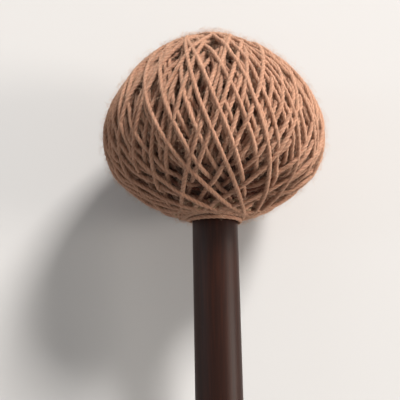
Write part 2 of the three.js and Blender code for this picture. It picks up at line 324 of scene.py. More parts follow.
def lacquer_finish():
    material, tree = start_finish("satin_lacquer")
    place = tree.node("ShaderNodeTexCoord", output=3)
    grain = tree.noise(tree.scaled(place, (1, grain_along, 1)), scale=2600, detail=4)
    pores = tree.noise(tree.scaled(place, (1, pores_along, 1)), scale=9000, detail=2)
    clouds = tree.noise(place, scale=45, detail=3)
    shade = tree.between(grain, 0.35, 0.7)
    colour = tree.blended(shade, paint("210e08"), paint("2d140b"))
    cloudy = tree.between(clouds, 0.4, 0.7) * 0.4
    colour = tree.blended(cloudy, colour, paint("1f0d07"))
    along = tree.node("ShaderNodeSeparateXYZ", sockets={0: place}, output=1)
    held = 1 - tree.between(along, polished_to, dull_from)
    sockets = {
        "Base Color": colour,
        "Roughness": 0.35 + 0.08 * clouds - 0.06 * held,
        "Specular IOR Level": 0.13,
    }
    end_finish(tree, sockets, height=grain * 0.5 + pores * 0.5, bump_depth=0.012 * mm)
    return material


lacquer = lacquer_finish()
print("finish:", lacquer.name)

# %% [markdown]
# ## The finishes inside
# The core is moulded rubber, matt and near black, with a bloom of powder.
# The sleeve over it is a stretched tube of amber latex, with fine creases.
# Both are out of sight in the finished mallet, so they keep their CAD meshes.
# They get their finish for whoever takes the part to pieces.


# %% Rubber and latex
def rubber_finish():
    material, tree = start_finish("moulded_rubber")
    place = tree.node("ShaderNodeTexCoord", output=3)
    bloom = tree.noise(place, scale=260, detail=4)
    specks = tree.noise(place, scale=4000, detail=2)
    powdered = tree.between(bloom, 0.4, 0.75) * 0.6
    sockets = {
        "Base Color": tree.blended(powdered, paint("262424"), paint("4a4643")),
        "Roughness": 0.62 + 0.25 * bloom,
    }
    end_finish(tree, sockets, height=specks, bump_depth=0.04 * mm)
    return material


def latex_finish():
    material, tree = start_finish("stretched_latex")
    place = tree.node("ShaderNodeTexCoord", output=3)
    creases = tree.noise(tree.scaled(place, (1, 4, 1)), scale=420, detail=3)
    powder = tree.noise(place, scale=1500, detail=2)
    shade = tree.between(creases, 0.35, 0.7)
    sockets = {
        "Base Color": tree.blended(shade, paint("c79a5c"), paint("dcb67c")),
        "Roughness": 0.42 + 0.25 * powder,
        "Subsurface Weight": 0.1,
        "Subsurface Scale": 1 * mm,
    }
    height = creases * 0.7 + powder * 0.3
    end_finish(tree, sockets, height, bump_depth=0.05 * mm)
    return material


for node, finish in (("core", rubber_finish()), ("latex_sleeve", latex_finish())):
    mesh = frame["nodes"][node].data
    mesh.materials.clear()
    mesh.materials.append(finish)
    print(node, "has", finish.name)

# %% [markdown]
# ## The lathe
# The CAD's shaft has 40 flat sides, which would show as facets. A smooth one
# can be turned on a lathe: a list of radii and heights is swung round the
# axis. Working out the points in a few lines keeps the poles closed.


# %% A lathe
def turned(outline, sides):
    """Points and faces of an outline of (radius, height) swung round z.

    The outline runs from the axis to the axis, and goes up on the outside.
    """
    outline = np.asarray(outline, float)
    angles = 2 * np.pi * np.arange(sides) / sides
    ring = np.stack([np.cos(angles), np.sin(angles)], 1)
    points = [[0, 0, outline[0][1]]]
    for radius, height in outline[1:-1]:
        points += [[x * radius, y * radius, height] for x, y in ring]
    points.append([0, 0, outline[-1][1]])
    rings = len(outline) - 2
    faces = []
    for side in range(sides):
        after = (side + 1) % sides
        faces.append([0, 1 + after, 1 + side])
        for row in range(rings - 1):
            low, high = 1 + row * sides, 1 + (row + 1) * sides
            faces.append([low + side, low + after, high + after, high + side])
        last = 1 + (rings - 1) * sides
        faces.append([last + side, last + after, len(points) - 1])
    return np.array(points), faces


cone_points, cone_faces = turned([(0, 0), (1, 0), (0, 1)], sides=8)
print("a cone of 8 sides has", len(cone_points), "points,", len(cone_faces), "faces")

# %% [markdown]
# ## The shaft
# It has the CAD's outline. The butt is rounded over, the hidden tip is
# chamfered, and shallow grooves under the head hold the glue.
# A few rings along the plain stretch keep its faces from growing too long.

# %% The shaft's outline
shaft_radius = 4 * mm
shaft_sides = 96
butt_round = 1.2 * mm
tip_chamfer = 0.6 * mm
groove_depth = 0.3 * mm
groove_heights = (-5.0, -2.0, 1.0)
groove_shape = ((-0.6, 0), (-0.4, 1), (0.4, 1), (0.6, 0))
plain_rings = (-380, -300, -200, -100, -30, -20)


def shaft_outline():
    bottom = -shaft_below_head
    outline = [(0, bottom), (shaft_radius - 2 * butt_round, bottom)]
    for bend in np.linspace(0, np.pi / 2, 9):
        out = shaft_radius - butt_round + butt_round * math.sin(bend)
        outline.append((out, bottom + butt_round - butt_round * math.cos(bend)))
    outline += [(shaft_radius, height * mm) for height in plain_rings]
    for middle in groove_heights:
        for step, share in groove_shape:
            outline.append((shaft_radius - groove_depth * share, (middle + step) * mm))
    outline += [
        (shaft_radius, shaft_top - tip_chamfer),
        (shaft_radius - tip_chamfer, shaft_top),
        (0, shaft_top),
    ]
    return outline


shaft_shape = turned(shaft_outline(), shaft_sides)
print("shaft:", len(shaft_shape[0]), "points")


# %% From points to a piece of the mallet
def in_scene(name, data):
    """A new object of a mesh, lamp or camera."""
    made = bpy.data.objects.new(name, data)
    bpy.context.scene.collection.objects.link(made)
    return made


def dressed(piece, slot, *nodes):
    """Attaches a finished piece to the root body, hides the CAD nodes it stands for,
    and prints its triangles.
    """
    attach(piece, "root")
    if nodes:
        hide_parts(*nodes)
    piece.data.calc_loop_triangles()
    print(piece.name, len(piece.data.loop_triangles), "triangles")
    return piece


def as_piece(name, points, faces, finish, slot, *nodes):
    """A smooth mesh, laid on the floor, that stands for these CAD nodes."""
    mesh = bpy.data.meshes.new(name)
    mesh.from_pydata(laid(points).tolist(), [], faces)
    mesh.shade_smooth()
    mesh.materials.append(finish)
    return dressed(in_scene(name, mesh), slot, *nodes)


as_piece("shaft_dowel", *shaft_shape, lacquer, "shaft", "shaft")

# %% [markdown]
# ## The form of the head
# The head is an oval, a bit pointed at the crown and flatter at the neck.
# It could be sculpted, but the yarn has to know where the outline is, and a
# formula says so at any point. `on_head` takes a direction from the middle
# of the head and gives the point of the outline there, with the direction
# that stands square on it.
# A wound head is never quite even, so the outline swells a little here and
# there. It also sinks a little round the neck, where the yarn is drawn in.

# %% The head's oval
head_radius = 19.7 * mm
crown_rise = 19.1 * mm
neck_drop = 15.6 * mm
crown_roundness = 1.75
neck_roundness = 2.15
neck_flat = 0.5 * mm
neck_flat_middle = 0.72
neck_flat_width = 0.16
uneven_by = 0.18 * mm


def on_head(directions):
    """Points of the head's outline in these directions, and its normals."""
    x, y, z = directions.T
    across = np.hypot(x, y)
    tall = np.where(z > 0, crown_rise, neck_drop)
    power = np.where(z > 0, crown_roundness, neck_roundness)
    size = (across**power + np.abs(z) ** power) ** (-1 / power)
    points = directions * size[:, None]
    points[:, :2] *= head_radius
    points[:, 2] *= tall
    steep = (across * size) ** (power - 1) / head_radius
    flat = np.sign(z) * (np.abs(z) * size) ** (power - 1) / tall
    away = np.stack([x / across * steep, y / across * steep, flat], 1)
    away /= np.linalg.norm(away, axis=1)[:, None]
    return points, away


def swelling(directions):
    """How far hand winding makes the head stand out or dip in.

    Two slow waves that lie askew make it uneven, and it sinks near the neck.
    """
    x, y, z = directions.T
    sunk = neck_flat * np.exp(-(((z + neck_flat_middle) / neck_flat_width) ** 2))
    uneven = np.sin(2.1 * x + 1.7 * z + 0.6) + np.sin(3.3 * y - 2.2 * z + 2)
    return uneven_by * uneven - sunk


head_size = np.array([2 * head_radius, crown_rise + neck_drop])
print("head, mm:", np.round(head_size / mm, 1))

# %% [markdown]
# ## The route of the yarn
# The winder turns the shaft a little after each loop. A loop is nearly a
# great circle that leans, so that it passes the shaft on one side and the
# crown on the other. Going up it leans one way, and coming down, on the far
# side, it leans the other way. That makes the criss-cross.
# There are 15.38 loops in a round of the axis. As that is no whole number,
# the next round of loops falls between the loops of the last one.
# How far a loop passes from each pole changes a bit from loop to loop, and so
# does the step to the next loop, as it does by hand.

# %% Sizes of the winding
yarn_radius = 0.385 * mm
loops = 206
loops_in_a_round = 15.38
points_in_a_loop = 144
crown_eye_least, crown_eye_most = 0.4, 6.0
neck_eye_least, neck_eye_most = 4.5, 5.8
uneven_step = math.radians(1.8)
chance = np.random.default_rng(11)
print(loops, "loops of yarn,", round(2 * yarn_radius / mm, 2), "mm thick")


# %% Where each point of the yarn heads
def eased_between(values, places):
    """Values at whole places, with eased steps between them."""
    start = np.floor(places).astype(int)
    share = places - start
    share = share * share * (3 - 2 * share)
    return values[start] * (1 - share) + values[start + 1] * share


def winding_directions():
    turns = np.arange(loops * points_in_a_loop + 1) / points_in_a_loop
    phase = 2 * np.pi * turns
    crown_eyes = chance.uniform(crown_eye_least, crown_eye_most, loops + 2) * mm
    neck_eyes = chance.uniform(neck_eye_least, neck_eye_most, loops + 2) * mm
    crown_tilt = np.arcsin(crown_eyes / head_radius)[np.floor(turns + 0.25).astype(int)]
    neck_tilt = np.arcsin(neck_eyes / head_radius)[np.floor(turns + 0.75).astype(int)]
    crown_share = (1 + np.sin(phase)) / 2
    tilt = neck_tilt + (crown_tilt - neck_tilt) * crown_share
    uneven = chance.normal(0, uneven_step, 2 * loops + 2)
    heading = phase / loops_in_a_round + eased_between(uneven, 2 * turns)
    x, y = np.cos(phase), np.sin(phase) * np.sin(tilt)
    turned_x = x * np.cos(heading) - y * np.sin(heading)
    turned_y = x * np.sin(heading) + y * np.cos(heading)
    return np.stack([turned_x, turned_y, np.sin(phase) * np.cos(tilt)], 1)


directions = winding_directions()
print("yarn points:", len(directions))

# %% [markdown]
# ## How high each loop lies
# Each new loop lies on the yarn that is already there. Where it crosses a
# strand it has to climb over it, and because it is pulled tight it makes a
# bridge from one strand to the next instead of dipping between them.
# A simulation of 21 metres of yarn would take far too long. So the loops are
# laid one by one with a sum. For each point of the new loop, the nearest
# older points say how high it is carried, as a ball would rest on balls.
# Then the heights are eased along the yarn.
# The balls are a little smaller than the yarn is thick, because yarn gives
# where it crosses. Round the neck they are larger, so that strands there
# stand clear of each other.

# %% Laying the loops
contact = 0.7 * mm
contact_at_crown = 0.68 * mm
contact_at_neck = 1.0 * mm
pole_from = 0.55
pole_width = 0.4
own_points = 6
bridge_points = 2.2
sag_under_crossing = 0.12
smooth_points = 1.4
join_points = 5


def eased(heights, width):
    """Heights smoothed along the yarn over a few points."""
    reach = int(3 * width)
    steps = np.arange(-reach, reach + 1)
    weights = np.exp(-0.5 * (steps / width) ** 2)
    padded = np.pad(heights, reach, mode="edge")
    return np.convolve(padded, weights / weights.sum(), mode="valid")


def carried(new, old, old_heights, thick):
    """How high each new point is carried by the old ones near it."""
    apart = (new**2).sum(1)[:, None] + (old**2).sum(1) - 2 * new @ old.T
    room = thick[:, None] ** 2 - apart
    lift = np.where(room > 0, old_heights + np.sqrt(np.clip(room, 0, None)), 0)
    return lift.max(axis=1, initial=0)


def contact_sizes(directions):
    """How far apart the middles of crossing strands are kept, in mm."""
    near_pole = np.clip((np.abs(directions[:, 2]) - pole_from) / pole_width, 0, 1)
    at_pole = np.where(directions[:, 2] > 0, contact_at_crown, contact_at_neck)
    sizes = (contact + (at_pole - contact) * near_pole) / mm
    return sizes.astype(np.float32)


def lay_winding(directions):
    """The height of each point of the yarn on the bare bed."""
    points, _ = on_head(directions)
    points = (points / mm).astype(np.float32)
    thick = contact_sizes(directions)
    heights = np.zeros(len(points), np.float32)
    for loop in range(loops):
        start = loop * points_in_a_loop
        end = start + points_in_a_loop + (loop == loops - 1)
        before = max(0, start - own_points)
        old, old_heights = points[:before], heights[:before]
        base = carried(points[start:end], old, old_heights, thick[start:end])
        tight = eased(base, bridge_points)
        tight = eased(np.maximum(tight, base - sag_under_crossing), smooth_points)
        if start:
            jump = heights[start - 1] - tight[0]
            tight += jump * np.exp(-np.arange(len(tight)) / join_points)
        heights[start:end] = tight
    return heights * mm


heights = lay_winding(directions)
print("yarn is piled up to mm:", round(float(heights.max() / mm), 1))

# %% [markdown]
# ## From heights to places
# Near the poles many more loops lie on each other than at the equator. The
# real yarn is squeezed there, and the core leaves it room. So the tops of
# the piles are what is known: they make the head's outline. Each point lies
# as far under the outline as it lies under the top of the pile there.
# A top is found in two steps. First the heights are counted down from the
# usual top at their latitude. Then the strongest of the points round about
# give the top at that very spot, so that no side of the head stands out.
# What lies very deep is squeezed together, because none of it shows.

# %% Depths under the outline
latitude_bands = 40
fewest_in_a_band = 40
band_easing = 1.2
top_share = 93
rank_at_top = 6
lowest_rank, highest_rank = 0.3, 9
rank_strength = 14
round_about = 2.6
thinned, at_once = 4, 800
squeezed_from = 2.6 * mm
squeezed_over = 2 * mm
most_proud = 0.45 * mm
top_depth = 0.3 * mm


def usual_depths(directions, heights):
    """How far each point lies under the usual top at its latitude."""
    latitude = np.arcsin(directions[:, 2])
    edges = np.linspace(-np.pi / 2, np.pi / 2, latitude_bands + 1)
    middles, tops = [], []
    for low, high in zip(edges[:-1], edges[1:]):
        here = heights[(latitude >= low) & (latitude < high)]
        if len(here) > fewest_in_a_band:
            middles.append((low + high) / 2)
            tops.append(np.percentile(here, top_share))
    tops = eased(np.array(tops), band_easing)
    return np.interp(latitude, middles, tops) - heights


def local_tops(points, rank):
    """The top of the pile round each point, from every fourth point."""
    points = points.astype(np.float32)
    near = points[::thinned]
    strong = (rank[::thinned] ** rank_strength).astype(np.float32)
    tops = []
    for start in range(0, len(points), at_once):
        some = points[start : start + at_once]
        apart = (some**2).sum(1)[:, None] + (near**2).sum(1) - 2 * some @ near.T
        weight = np.exp(-np.clip(apart, 0, None) / (2 * round_about**2))
        tops.append((weight @ strong / weight.sum(1)) ** (1 / rank_strength))
    return np.concatenate(tops)


def depths_under(directions, heights):
    """How far each point lies under the head's outline."""
    rank = rank_at_top - usual_depths(directions, heights) / mm
    rank = np.clip(rank, lowest_rank, highest_rank)
    depth = (local_tops(on_head(directions)[0] / mm, rank) - rank) * mm
    squeezed = squeezed_over * np.tanh((depth - squeezed_from) / squeezed_over)
    depth = np.where(depth > squeezed_from, squeezed_from + squeezed, depth)
    proud = most_proud * np.tanh(depth / most_proud)
    return np.where(depth < 0, proud, depth) + top_depth


depth = depths_under(directions, heights)
print("deepest yarn, mm:", round(float(depth.max() / mm), 1))

# %% [markdown]
# The head also lies on the floor with its weight, and is pressed flat where
# it touches. Yarn that would sink into the floor is lifted on to it, and the
# bend from free yarn to pressed yarn is eased.

# %% Places of the yarn
floor_gap = 0.05 * mm
floor_softness = 0.15 * mm
lobed_radius = 1.08 * yarn_radius


def pressed_on_floor(places, radius):
    """Places with what would sink into the floor laid on it."""
    places = places.copy()
    low = radius + floor_gap
    above = (places[:, 2] - low) / floor_softness
    places[:, 2] = low + floor_softness * np.logaddexp(0, above)
    return places


def winding_places(directions, depth):
    points, away = on_head(directions)
    out = swelling(directions) - yarn_radius - depth
    return pressed_on_floor(laid(points + away * out[:, None]), lobed_radius)


places = winding_places(directions, depth)
length = np.linalg.norm(np.diff(places, axis=0), axis=1).sum()
print("yarn in the winding, m:", round(float(length), 2))

# %% [markdown]
# ## Yarn from a path
# Yarn is plies twisted round each other. Swept along a path, that is a round
# bar with a few lobes, and the lobes turn as it goes. A curve's own bevel
# makes smooth bars only. A Geometry Nodes tree makes an even curve of any
# path, tilts it by its length, bends a circle into lobes and sweeps it. One
# tree serves the winding, the turns at the neck and the stitches' thread.
# A tree takes its sizes by name. It ends in plain geometry with its finish,
# and the modifier that runs it is gone before the frame hears of the piece.


# %% A geometry tree
def start_shape(name, inputs):
    """A new geometry tree, and its inputs by name as Values."""
    group = bpy.data.node_groups.new(name, "GeometryNodeTree")
    face = group.interface
    face.new_socket("Geometry", in_out="INPUT", socket_type="NodeSocketGeometry")
    for title, kind in inputs.items():
        face.new_socket(title, in_out="INPUT", socket_type="NodeSocket" + kind)
    face.new_socket("Geometry", in_out="OUTPUT", socket_type="NodeSocketGeometry")
    tree = Tree(group.nodes, group.links)
    names = ("Geometry", *inputs)
    given = dict(zip(names, tree.node("NodeGroupInput", output=names)))
    return group, tree, given


def end_shape(tree, geometry, finish):
    """Ends a tree as plain geometry with its finish."""
    real = tree.node("GeometryNodeRealizeInstances", sockets={"Geometry": geometry})
    done = tree.node(
        "GeometryNodeSetMaterial", sockets={"Geometry": real, "Material": finish}
    )
    tree.node("NodeGroupOutput", sockets={"Geometry": done})


def stored(tree, geometry, name, value):
    """Geometry with a number kept at each of its points."""
    return tree.node(
        "GeometryNodeStoreNamedAttribute",
        {"data_type": "FLOAT", "domain": "POINT"},
        {"Geometry": geometry, "Name": name, "Value": value},
    )


def run_shape(name, source, group, values):
    """The plain mesh object that a geometry tree makes of a source mesh."""
    maker = in_scene(name + "_maker", source)
    modifier = maker.modifiers.new("shape", "NODES")
    modifier.node_group = group
    for item in group.interface.items_tree:
        if item.in_out == "INPUT" and item.name in values:
            modifier[item.identifier] = values[item.name]
    seen = maker.evaluated_get(bpy.context.evaluated_depsgraph_get())
    mesh = bpy.data.meshes.new_from_object(seen)
    maker.modifiers.remove(modifier)
    bpy.data.objects.remove(maker)
    mesh.name = name
    return in_scene(name, mesh)


print("a tree has inputs, sums and nodes, and ends in plain geometry")


# %% The yarn's tree
def twisted_path(tree, given):
    """The chain of points as an even curve that tilts as it goes."""
    path = tree.node("GeometryNodeMeshToCurve", sockets={"Mesh": given["Geometry"]})
    path = tree.node(
        "GeometryNodeCurveSplineType", {"spline_type": "CATMULL_ROM"}, {"Curve": path}
    )
    path = tree.node(
        "GeometryNodeResampleCurve",
        {"mode": "LENGTH"},
        {"Curve": path, "Length": given["Step"]},
    )
    along = tree.node("GeometryNodeSplineParameter", output=1)
    path = stored(tree, path, "along", along)
    tilt = along / given["Twist length"] * (2 * math.pi)
    return tree.node(
        "GeometryNodeSetCurveTilt", sockets={"Curve": path, "Tilt": tilt}
    )


def lobed_ring(tree, given):
    """A circle that bulges at each ply."""
    ring = tree.node(
        "GeometryNodeCurvePrimitiveCircle",
        sockets={
            "Resolution": given["Plies"] * given["Sides of a ply"],
            "Radius": given["Radius"],
        },
    )
    around = tree.node("GeometryNodeSplineParameter", output=0)
    ring = stored(tree, ring, "around", around)
    lobe = tree.maths("COSINE", around * given["Plies"] * (2 * math.pi))
    position = tree.node("GeometryNodeInputPosition")
    offset = tree.node(
        "ShaderNodeVectorMath",
        {"operation": "SCALE"},
        {0: position, "Scale": lobe * given["Lobe depth"]},
    )
    return tree.node(
        "GeometryNodeSetPosition", sockets={"Geometry": ring, "Offset": offset}
    )


def spun_tree():
    group, tree, given = start_shape(
        "spun_along_path",
        {
            "Radius": "Float",
            "Plies": "Int",
            "Sides of a ply": "Int",
            "Lobe depth": "Float",
            "Twist length": "Float",
            "Step": "Float",
            "Material": "Material",
        },
    )
    path, ring = twisted_path(tree, given), lobed_ring(tree, given)
    bar = tree.node(
        "GeometryNodeCurveToMesh",
        sockets={"Curve": path, "Profile Curve": ring, "Fill Caps": True},
    )
    bar = tree.node("GeometryNodeSetShadeSmooth", sockets={"Geometry": bar})
    end_shape(tree, bar, given["Material"])
    return group


spun = spun_tree()
print(spun.name, "has", len(spun.nodes), "nodes")

# %% [markdown]
# ## The winding
# The path comes in as a chain of points, so that the depth of each point can
# come with it.
# The winding is one length of yarn. It is spun in seven meshes that join end
# to end, because one mesh would be too heavy. The first loops lie
# lowest. They aren't spun, as the packed body of the next step stands there.

# %% The winding in lengths
packed_loops = 24
winding_pieces = 7
lobe_depth = 0.1
winding_sizes = {
    "Radius": yarn_radius,
    "Sides of a ply": 4,
    "Twist length": 2.8 * mm,
    "Step": 0.44 * mm,
}


def path_mesh(name, places, depth):
    """A chain of points with their depth."""
    mesh = bpy.data.meshes.new(name + "_path")
    steps = [(i, i + 1) for i in range(len(places) - 1)]
    mesh.from_pydata(np.asarray(places).tolist(), steps, [])
    kept = mesh.attributes.new("depth", "FLOAT", "POINT")
    kept.data.foreach_set("value", np.asarray(depth, np.float32))
    return mesh


def spin(name, places, depth, finish, sizes):
    """Yarn or thread spun along a path."""
    values = {"Plies": plies, "Lobe depth": lobe_depth, "Material": finish, **sizes}
    return run_shape(name, path_mesh(name, places, depth), spun, values)


cuts = np.linspace(packed_loops, loops, winding_pieces + 1).round().astype(int)
cuts *= points_in_a_loop
winding = []
for number, (first, last) in enumerate(zip(cuts[:-1], cuts[1:]), 1):
    name, part = f"yarn_winding_{number}", slice(first, last + 1)
    piece = spin(name, places[part], depth[part], yarn, winding_sizes)
    winding.append(dressed(piece, "yarn", "outer_winding"))

# %% [markdown]
# ## The inner yarn
# Between the outer strands, packed yarn shows, with painted shade in its darker colour.
# On the real mallet it is the first part of the winding, so it is also criss-cross, but
# pressed into a dense body round the sleeve.
# From outside it is a skin with crossing ridges. So it is turned in the same
# way as the shaft, but hollow, and its outer skin gets the ridges.

# %% Skins of the packed yarn
bed_depth = 3.7 * mm
bed_inside = 0.9 * mm
bed_mouth = 4.9 * mm
bed_rows = 100
bed_sides = 300
off_axis = 1e-5


def bed_skins():
    """Outlines of the outer skin, going up, and of the inner, going down."""
    tilts = np.linspace(-1, 1, bed_rows) * np.pi / 2
    flat = np.stack([np.cos(tilts), 0 * tilts, np.sin(tilts)], 1)
    flat[:, 0] = np.maximum(flat[:, 0], off_axis)
    points, away = on_head(flat)
    outer = (points - away * bed_depth)[:, [0, 2]]
    inner = (points - away * (bed_depth + bed_inside))[:, [0, 2]]
    outer = outer[outer[:, 0] > bed_mouth]
    inner = inner[inner[:, 0] > bed_mouth][::-1]
    outer[-1, 0] = inner[0, 0] = 0
    return outer.tolist(), inner.tolist()


def hollow_turned(outer, inner, sides):
    """A closed shell: the outer and inner outlines swung round, with a rim.

    The outer one ends on the axis at the crown, and the inner starts there.
    """
    angles = 2 * np.pi * np.arange(sides) / sides
    ring = np.stack([np.cos(angles), np.sin(angles)], 1)
    rings = outer[:-1] + inner[1:]
    points = [[x * r, y * r, z] for r, z in rings for x, y in ring]
    crown, roof = len(points), len(points) + 1
    points += [[0, 0, outer[-1][1]], [0, 0, inner[0][1]]]
    top, last = len(outer) - 2, len(rings) - 1
    bands = [(row, row + 1) for row in range(last) if row != top] + [(last, 0)]
    faces = []
    for side in range(sides):
        after = (side + 1) % sides
        for low, high in bands:
            low, high = low * sides, high * sides
            faces.append([low + side, low + after, high + after, high + side])
        faces.append([top * sides + side, top * sides + after, crown])
        faces.append([(top + 1) * sides + after, (top + 1) * sides + side, roof])
    return np.array(points), faces, crown


outer_skin, inner_skin = bed_skins()
bed_points, bed_faces, crown_point = hollow_turned(outer_skin, inner_skin, bed_sides)
print("packed body:", len(bed_points), "points,", len(bed_faces), "faces")

# %% Ridges on the outer skin
ridge_height = 0.45 * mm
ridges_round = 26
ridge_slant = 13
lower_ridges = 0.8


def ridges(points):
    """Height of crossing strands on the skin of the bed, from 0 to 1."""
    angle = np.arctan2(points[:, 1], points[:, 0])
    slant = ridge_slant * (points[:, 2] / head_radius)
    rising = np.abs(np.cos(ridges_round * angle + slant))
    falling = np.abs(np.cos(ridges_round * angle - slant + 1))
    return np.maximum(rising, lower_ridges * falling)


outer_points = np.r_[0 : (len(outer_skin) - 1) * bed_sides, crown_point]
skin = bed_points[outer_points]
outward = skin / np.linalg.norm(skin, axis=1)[:, None]
bed_points[outer_points] += outward * (ridges(skin) * ridge_height)[:, None]
print("ridges on", len(outer_points), "points")


# %% The packed yarn's finish
def packed_finish():
    """Packed yarn whose strands merge, with painted shade in its darker colour."""
    material, tree = start_finish("packed_yarn_painted_shade")
    place = tree.node("ShaderNodeTexCoord", output=3)
    strands = tree.noise(tree.scaled(place, (1, 0.2, 1)), scale=1500, detail=3)
    clouds = tree.noise(place, scale=300, detail=2)
    shade = tree.between(strands * 0.6 + clouds * 0.4, 0.35, 0.65)
    sockets = {
        # Painted shade: both colours are darker than the outer yarn, for the shade in
        # the gaps.
        "Base Color": tree.blended(shade, paint("4c362c"), paint("735544")),
        "Roughness": 0.95 - 0.1 * shade,
        "Specular IOR Level": 0.2,
        "Sheen Weight": 0.2,
    }
    end_finish(tree, sockets, height=strands, bump_depth=0.2 * mm)
    return material


packed = packed_finish()
as_piece("inner_yarn", bed_points, bed_faces, packed, "under_yarn", "under_winding")

# %% [markdown]
# ## Yarn round the neck
# At the neck the yarn takes a few turns round the shaft before it is tied
# off. They fill the eye that the loops leave round the shaft, and the lowest
# one closes it. The path is a coil that sinks a little unevenly, with its
# first end tucked away into the head, and it is spun as the winding is.

# %% Turns at the neck
anchor_turns = 3.9
anchor_start = 1.9
anchor_bottom = -15.6 * mm
anchor_rise, anchor_sway = 3.2, 0.1
anchor_thickness = 0.95
anchor_slack = 0.25
slack_rate, sway_rate = 9, 20
tucked_share = 0.06
anchor_depth = 0.8 * mm
anchor_radius = yarn_radius * anchor_thickness
anchor_sizes = winding_sizes | {"Radius": anchor_radius, "Step": 0.3 * mm}


def coil(turns, start, middle, radius_of, height_of, per_turn=60):
    """A coil round the axis. Radius and height follow the share of its way."""
    share = np.linspace(0, 1, int(turns * per_turn))
    angle = start + 2 * np.pi * turns * share
    radius, height = radius_of(share), height_of(share)
    points = [radius * np.cos(angle), radius * np.sin(angle), height]
    return np.stack(points, 1) + np.array([0, 0, middle])


def anchor_path():
    def radius_of(share):
        tucked = np.clip((tucked_share - share) / tucked_share, 0, 1)
        away = anchor_thickness + anchor_slack * np.sin(slack_rate * share)
        return shaft_radius + yarn_radius * away + tucked * mm

    def height_of(share):
        sway = anchor_sway * np.sin(sway_rate * share)
        return (anchor_rise - anchor_rise * share + sway) * mm

    return coil(anchor_turns, anchor_start, anchor_bottom, radius_of, height_of)


anchor = laid(anchor_path())
anchor_depths = np.full(len(anchor), anchor_depth)
neck_turns = spin("neck_turns", anchor, anchor_depths, yarn, anchor_sizes)
dressed(neck_turns, "yarn", "anchor_wraps")

# %% [markdown]
# ## The stitches
# A thinner thread is drawn round the crossings at both poles and pulled
# tight, so that the loops can't slide off. It goes over one strand and under
# the next, so its coil waves up and down, and in and out.

# %% Stitches at both poles
stitch_turns = 1.9
stitch_start = 0.4
waves_in_a_turn = 9.5
wave_in_and_out = 0.5 * mm
wave_lag = 0.7
points_in_a_turn = 120
thread_sizes = {
    "Radius": 0.24 * mm,
    "Sides of a ply": 3,
    "Twist length": 1.6 * mm,
    "Step": 0.2 * mm,
}


def stitch_path(radius, height, wave):
    def phase(share):
        return 2 * np.pi * waves_in_a_turn * stitch_turns * share

    def radius_of(share):
        return radius + wave_in_and_out * np.cos(phase(share))

    def height_of(share):
        return wave * np.cos(phase(share) + wave_lag)

    sizes = stitch_turns, stitch_start, height, radius_of, height_of
    return coil(*sizes, points_in_a_turn)


for name, node, radius, height, wave in (
    ("crown_stitches", "crown_stitch", 6.0, 16.1, 0.7),
    ("neck_stitches", "neck_stitch", 6.6, -13.5, -0.8),
):
    path = laid(stitch_path(radius * mm, height * mm, wave * mm))
    piece = spin(name, path, np.zeros(len(path)), thread, thread_sizes)
    dressed(piece, "thread", node)

# %% [markdown]
# ## Loose fibres
# Wool yarn has a haze of loose fibres. It softens the outline of the head.
# Blender's hair could make them, but the export wants plain meshes. So a
# second tree scatters points over the strands that lie on top, and puts a
# thin bent hair of twenty triangles on each. A hair starts just inside the
# yarn, so that it grows out of it, and bends over to one side.

# %% The fibres' tree
hair_start, hair_end = (0, 0, -0.1), (0.85, 0.25, 0.4)
hair_handles = (0, 0, 0.4), (0.35, 0.1, 0.75)
hair_tip = 0.3
shortest_hair = 0.35
turn_seed, size_seed = 5, 8


def bent_hair(tree, given):
    """A hair of length 1 that grows up, bends over and gets thinner."""
    hair = tree.node(
        "GeometryNodeCurvePrimitiveBezierSegment",
        {"mode": "POSITION"},
        {
            "Resolution": 3,
            "Start": hair_start,
            "Start Handle": hair_handles[0],
            "End Handle": hair_handles[1],
            "End": hair_end,
        },
    )
    share = tree.node("GeometryNodeSplineParameter", output=0)
    thin = tree.node(
        "GeometryNodeSetCurveRadius",
        sockets={"Curve": hair, "Radius": 1 - (1 - hair_tip) * share},
    )
    ring = tree.node(
        "GeometryNodeCurvePrimitiveCircle",
        sockets={"Resolution": 3, "Radius": given["Radius"] / given["Length"]},
    )
    return tree.node(
        "GeometryNodeCurveToMesh",
        sockets={"Curve": thin, "Profile Curve": ring, "Fill Caps": True},
    )


def chance_value(tree, least, most, seed):
    """A random number for each hair."""
    settings = {"data_type": "FLOAT"}
    sockets = {2: least, 3: most, "Seed": seed}
    return tree.node("FunctionNodeRandomValue", settings, sockets, output=1)


def fibre_tree():
    group, tree, given = start_shape(
        "loose_fibres",
        {
            "Fibres": "Float",
            "Length": "Float",
            "Radius": "Float",
            "Deepest": "Float",
            "Seed": "Int",
            "Material": "Material",
        },
    )
    depth = tree.node(
        "GeometryNodeInputNamedAttribute", {"data_type": "FLOAT"}, {"Name": "depth"}
    )
    shown = tree.node(
        "FunctionNodeCompare",
        {"operation": "LESS_THAN"},
        {0: depth, 1: given["Deepest"]},
    )
    spots, standing = tree.node(
        "GeometryNodeDistributePointsOnFaces",
        sockets={
            "Mesh": given["Geometry"],
            "Selection": shown,
            "Density": given["Fibres"],
            "Seed": given["Seed"],
        },
        output=("Points", "Rotation"),
    )
    any_way = chance_value(tree, -math.pi, math.pi, turn_seed)
    twist = tree.node("ShaderNodeCombineXYZ", sockets={2: any_way})
    turn = tree.node(
        "FunctionNodeRotateRotation",
        {"rotation_space": "LOCAL"},
        {0: standing, 1: twist},
    )
    size = chance_value(tree, shortest_hair, 1.0, size_seed)
    hairs = tree.node(
        "GeometryNodeInstanceOnPoints",
        sockets={
            "Points": spots,
            "Instance": bent_hair(tree, given),
            "Rotation": turn,
            "Scale": size * given["Length"],
        },
    )
    end_shape(tree, hairs, given["Material"])
    return group


loose = fibre_tree()
print(loose.name, "has", len(loose.nodes), "nodes")


